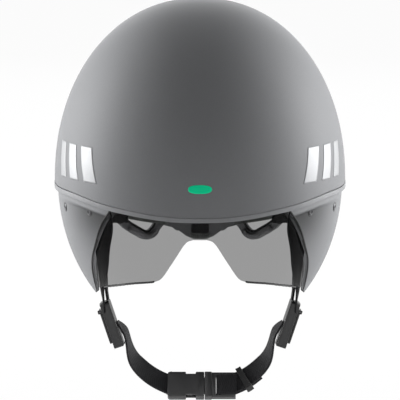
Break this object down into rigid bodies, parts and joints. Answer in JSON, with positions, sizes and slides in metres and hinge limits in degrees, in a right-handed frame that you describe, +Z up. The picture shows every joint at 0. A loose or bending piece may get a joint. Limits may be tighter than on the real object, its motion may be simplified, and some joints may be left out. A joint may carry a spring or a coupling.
{
  "type": "aero time trial helmet",
  "caption": "Smooth road time trial helmet with ear covers, magnetic tinted visor, chin strap and rear dial fit cradle.",
  "frame": {"origin": "in the head space on the middle plane, at the height of the brow edge and over the ears", "axes": "+X to the wearer's left when worn facing -Y, -Y towards the front, +Z up to the crown"},
  "size_m": [0.206, 0.276, 0.283],
  "materials": {
    "outer_shell": "satin titanium grey paint over polycarbonate",
    "trim_grey": "satin grey moulding",
    "foam": "expanded polystyrene foam, black beads",
    "black_plastic": "moulded black nylon",
    "cradle_plastic": "flexible dark moulding",
    "lens": "smoke tinted polycarbonate",
    "magnet": "nickel plated",
    "steel": "blackened steel",
    "seal_rubber": "soft black rubber",
    "pad": "knitted cover over foam",
    "webbing": "woven polyester webbing"
  },
  "bodies": {
    "helmet": {"outer_shell": "outer_shell", "shell_lower_rim": "trim_grey", "foam_liner": "foam", "tail_panel": "black_plastic", "ear_cover_left": "outer_shell", "ear_cover_right": "outer_shell", "cover_seal_left": "seal_rubber", "cover_seal_right": "seal_rubber", "cover_tabs": "black_plastic", "cover_screws": "steel", "visor_brackets": "black_plastic", "bracket_magnets": "magnet", "brow_pad": "pad", "side_pads": "pad", "crown_pads": "pad", "strap_anchors": "black_plastic", "strap_front_left": "webbing", "strap_front_right": "webbing", "strap_rear_left": "webbing", "strap_rear_right": "webbing", "divider_left": "black_plastic", "divider_right": "black_plastic", "divider_pins": "steel", "chin_strap_left": "webbing", "chin_strap_right": "webbing", "buckle_female": "black_plastic", "band_anchors": "cradle_plastic", "pivot_pins": "steel"},
    "visor": {"visor_lens": "lens", "visor_magnets": "magnet", "visor_magnet_holders": "black_plastic"},
    "divider_lever_left": {"divider_lever_left": "black_plastic"},
    "divider_lever_right": {"divider_lever_right": "black_plastic"},
    "buckle_plug": {"buckle_male": "black_plastic", "strap_tail": "webbing", "keeper_ring": "seal_rubber"},
    "fit_bands": {"fit_band_left": "cradle_plastic", "fit_band_right": "cradle_plastic"},
    "cradle": {"cradle_frame": "cradle_plastic", "cradle_pads": "pad", "dial_housing": "cradle_plastic", "dial_housing_cover": "cradle_plastic", "housing_screws": "steel"},
    "dial": {"dial_knob": "black_plastic", "drive_pinion": "black_plastic", "dial_screw": "steel"},
    "rack_left": {"rack_left": "cradle_plastic"},
    "rack_right": {"rack_right": "cradle_plastic"}
  },
  "joints": [
    {"name": "visor_pull", "type": "slide", "parent": "helmet", "child": "visor", "axis": [0, -1, 0], "range_m": [0, 0.06]},
    {"name": "left_divider_lever", "type": "hinge", "parent": "helmet", "child": "divider_lever_left", "pos_m": [-0.07077, -0.0088, -0.08037], "axis": [-0.0303, -0.9955, 0.0892], "range_deg": [-75, 0]},
    {"name": "right_divider_lever", "type": "hinge", "parent": "helmet", "child": "divider_lever_right", "pos_m": [0.07077, -0.0088, -0.08037], "axis": [-0.0303, 0.9955, -0.0892], "range_deg": [-75, 0]},
    {"name": "buckle_release", "type": "slide", "parent": "helmet", "child": "buckle_plug", "axis": [1, 0, 0], "range_m": [0, 0.02], "deforming": ["chin_strap_right"]},
    {"name": "cradle_height", "type": "hinge", "parent": "helmet", "child": "fit_bands", "pos_m": [0, -0.03, -0.012], "axis": [1, 0, 0], "range_deg": [-3, 3]},
    {"name": "cradle_tighten", "type": "slide", "parent": "fit_bands", "child": "cradle", "axis": [0, -1, 0], "range_m": [0, 0.008]},
    {"name": "dial_turn", "type": "hinge", "parent": "cradle", "child": "dial", "pos_m": [0, 0.101, -0.0315], "axis": [0, 1, 0], "range_deg": [0, 90]},
    {"name": "left_rack_slide", "type": "slide", "parent": "cradle", "child": "rack_left", "axis": [1, 0, 0], "range_m": [0, 0.00628]},
    {"name": "right_rack_slide", "type": "slide", "parent": "cradle", "child": "rack_right", "axis": [-1, 0, 0], "range_m": [0, 0.00628]}
  ],
  "couplings": [
    {"joint": "dial_turn", "follows": "cradle_tighten", "rad_per_m": 196.35},
    {"joint": "left_rack_slide", "follows": "cradle_tighten", "ratio": 0.7854},
    {"joint": "right_rack_slide", "follows": "cradle_tighten", "ratio": 0.7854}
  ]
}
